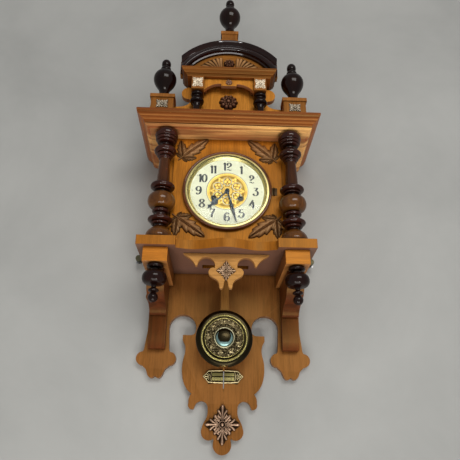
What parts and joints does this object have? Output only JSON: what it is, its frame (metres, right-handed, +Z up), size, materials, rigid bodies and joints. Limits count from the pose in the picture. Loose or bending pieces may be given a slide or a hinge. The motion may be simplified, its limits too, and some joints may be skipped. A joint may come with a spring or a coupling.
{
  "type": "wall clock with open swinging pendulum",
  "caption": "Spring-driven wall clock with a carved wooden case, a glazed round door over the dial, turned columns, an arched crest and an open pendulum that swings below the case.",
  "frame": {"origin": "centre of the hanging hole in the hanger plate, on the wall plane behind the backboard", "axes": "+X to the viewer's right, +Y into the wall, +Z up; the clock faces -Y"},
  "size_m": [0.358, 0.171, 0.9816],
  "materials": {
    "honey_wood": "waxed pine or beech, honey coloured, satin",
    "light_wood": "lighter limed edges, satin",
    "red_wood": "dark red-brown polished mouldings and turnings",
    "black_wood": "ebonised turnings, satin",
    "carved_wood": "carved leaves, dark brown",
    "rod_wood": "pale varnished rod",
    "brass": "bright brass",
    "gilt_brass": "pressed gilt brass, lightly worn",
    "cast_zinc": "cast zinc alloy with worn bronze colour",
    "steel": "plain steel",
    "blued_steel": "blued to black",
    "dial": "cream chapter ring round a pressed gilt centre",
    "glass": "clear flat glass"
  },
  "bodies": {
    "case": {"backboard": "honey_wood", "case_sides": "honey_wood", "front_stiles": "honey_wood", "bottom_shelf": "light_wood", "cornice_lower": "light_wood", "cornice_upper": "red_wood", "front_panel": "honey_wood", "leaf_carvings": "carved_wood", "hinge_case_leaf": "brass", "door_catch": "brass", "columns": "red_wood", "shelf_rails": "light_wood", "pendant_drops": "black_wood", "scroll_brackets": "honey_wood", "apron": "light_wood", "cast_ornaments": "cast_zinc", "beat_scale": "brass", "wall_fittings": "steel", "crest_panel": "honey_wood", "frieze_board": "honey_wood", "crest_moulding": "light_wood", "tympanum_board": "honey_wood", "arch_moulding": "black_wood", "crest_carvings": "carved_wood", "colonnettes": "black_wood", "crest_blocks": "honey_wood", "finials": "black_wood", "gilt_ornaments": "gilt_brass", "dial": "dial", "front_plate": "brass", "back_plate": "brass", "movement_bracket": "steel", "gong": "steel"},
    "door": {"door_ring": "red_wood", "door_bezel": "gilt_brass", "door_glass": "glass", "hinge_door_leaf": "brass"},
    "minute_hand": {"minute_hand": "blued_steel"},
    "hour_hand": {"hour_hand": "blued_steel"},
    "minute_wheel": {"minute_wheel": "brass"},
    "going_barrel": {"going_barrel": "brass"},
    "intermediate_wheel": {"intermediate_wheel": "brass"},
    "third_wheel": {"third_wheel": "brass"},
    "escape_wheel": {"escape_wheel": "brass"},
    "anchor": {"anchor": "steel"},
    "pendulum": {"pendulum_rod": "rod_wood"},
    "bob": {"pendulum_bob": "gilt_brass"},
    "rating_nut": {"rating_nut": "brass"},
    "going_winding": {"going_winding_arbor": "steel"},
    "strike_winding": {"strike_winding_arbor": "steel"},
    "going_click": {"going_click": "steel"},
    "strike_click": {"strike_click": "steel"},
    "strike_barrel": {"strike_barrel": "brass"},
    "strike_pin_wheel": {"strike_pin_wheel": "brass"},
    "strike_fly": {"strike_fly": "brass"},
    "hammer": {"hammer": "brass"},
    "wall_screw_left": {"wall_screw_left": "brass"},
    "wall_screw_right": {"wall_screw_right": "brass"}
  },
  "joints": [
    {"name": "door_hinge", "type": "hinge", "parent": "case", "child": "door", "pos_m": [0.0895, -0.1196, -0.102], "axis": [0, 0, 1], "range_deg": [0, 88]},
    {"name": "minute_turn", "type": "hinge", "parent": "case", "child": "minute_hand", "pos_m": [0, -0.087, -0.102], "axis": [0, 1, 0], "continuous": true},
    {"name": "hour_turn", "type": "hinge", "parent": "case", "child": "hour_hand", "pos_m": [0, -0.11, -0.102], "axis": [0, 1, 0], "continuous": true},
    {"name": "minute_wheel_turn", "type": "hinge", "parent": "case", "child": "minute_wheel", "pos_m": [0, -0.108, -0.114], "axis": [0, 1, 0], "continuous": true},
    {"name": "going_barrel_turn", "type": "hinge", "parent": "case", "child": "going_barrel", "pos_m": [0.0254, -0.087, -0.1175], "axis": [0, 1, 0], "continuous": true},
    {"name": "intermediate_turn", "type": "hinge", "parent": "case", "child": "intermediate_wheel", "pos_m": [0.0148, -0.087, -0.09267], "axis": [0, 1, 0], "continuous": true},
    {"name": "third_turn", "type": "hinge", "parent": "case", "child": "third_wheel", "pos_m": [-0.00641, -0.087, -0.08614], "axis": [0, 1, 0], "continuous": true},
    {"name": "escape_turn", "type": "hinge", "parent": "case", "child": "escape_wheel", "pos_m": [0, -0.087, -0.07105], "axis": [0, 1, 0], "continuous": true},
    {"name": "anchor_rock", "type": "hinge", "parent": "case", "child": "anchor", "pos_m": [0, -0.087, -0.05525], "axis": [0, 1, 0], "range_deg": [-4.5, 4.5]},
    {"name": "pendulum_swing", "type": "hinge", "parent": "case", "child": "pendulum", "pos_m": [0, -0.058, -0.05525], "axis": [0, 1, 0], "range_deg": [-4.5, 4.5]},
    {"name": "bob_slide", "type": "slide", "parent": "pendulum", "child": "bob", "axis": [0, 0, 1], "range_m": [-0.006, 0.006]},
    {"name": "rating_nut_turn", "type": "hinge", "parent": "bob", "child": "rating_nut", "pos_m": [0, -0.058, -0.41675], "axis": [0, 0, 1], "range_deg": [-3100, 3100]},
    {"name": "going_winding_turn", "type": "hinge", "parent": "case", "child": "going_winding", "pos_m": [0.0254, -0.106, -0.1175], "axis": [0, 1, 0], "continuous": true},
    {"name": "strike_winding_turn", "type": "hinge", "parent": "case", "child": "strike_winding", "pos_m": [-0.0254, -0.106, -0.1175], "axis": [0, 1, 0], "continuous": true},
    {"name": "going_click_lift", "type": "hinge", "parent": "case", "child": "going_click", "pos_m": [0.0392, -0.107, -0.1265], "axis": [0, 1, 0], "range_deg": [0, 12]},
    {"name": "strike_click_lift", "type": "hinge", "parent": "case", "child": "strike_click", "pos_m": [-0.0392, -0.107, -0.1265], "axis": [0, -1, 0], "range_deg": [0, 12]},
    {"name": "strike_barrel_turn", "type": "hinge", "parent": "case", "child": "strike_barrel", "pos_m": [-0.0254, -0.087, -0.1175], "axis": [0, 1, 0], "continuous": true},
    {"name": "strike_pin_turn", "type": "hinge", "parent": "case", "child": "strike_pin_wheel", "pos_m": [-0.02775, -0.087, -0.0906], "axis": [0, 1, 0], "continuous": true},
    {"name": "strike_fly_turn", "type": "hinge", "parent": "case", "child": "strike_fly", "pos_m": [-0.02354, -0.087, -0.0759], "axis": [0, 1, 0], "continuous": true},
    {"name": "hammer_rock", "type": "hinge", "parent": "case", "child": "hammer", "pos_m": [-0.046, -0.07, -0.098], "axis": [0, 1, 0], "range_deg": [-5.5, 8]},
    {"name": "wall_screw_left_travel", "type": "slide", "parent": "case", "child": "wall_screw_left", "axis": [0, 1, 0], "range_m": [-0.003, 0.006]},
    {"name": "wall_screw_right_travel", "type": "slide", "parent": "case", "child": "wall_screw_right", "axis": [0, 1, 0], "range_m": [-0.003, 0.006]}
  ],
  "couplings": [
    {"joint": "hour_turn", "follows": "minute_turn", "ratio": 0.083333},
    {"joint": "minute_wheel_turn", "follows": "minute_turn", "ratio": -0.33333},
    {"joint": "going_barrel_turn", "follows": "minute_turn", "ratio": 0.020833},
    {"joint": "intermediate_turn", "follows": "minute_turn", "ratio": -0.16667},
    {"joint": "third_turn", "follows": "minute_turn", "ratio": -8.5},
    {"joint": "escape_turn", "follows": "minute_turn", "ratio": 78.625},
    {"joint": "anchor_rock", "follows": "pendulum_swing", "ratio": 1},
    {"joint": "rating_nut_turn", "follows": "bob_slide", "rad_per_m": 8976},
    {"joint": "strike_pin_turn", "follows": "strike_barrel_turn", "ratio": -8},
    {"joint": "strike_fly_turn", "follows": "strike_barrel_turn", "ratio": 60}
  ]
}
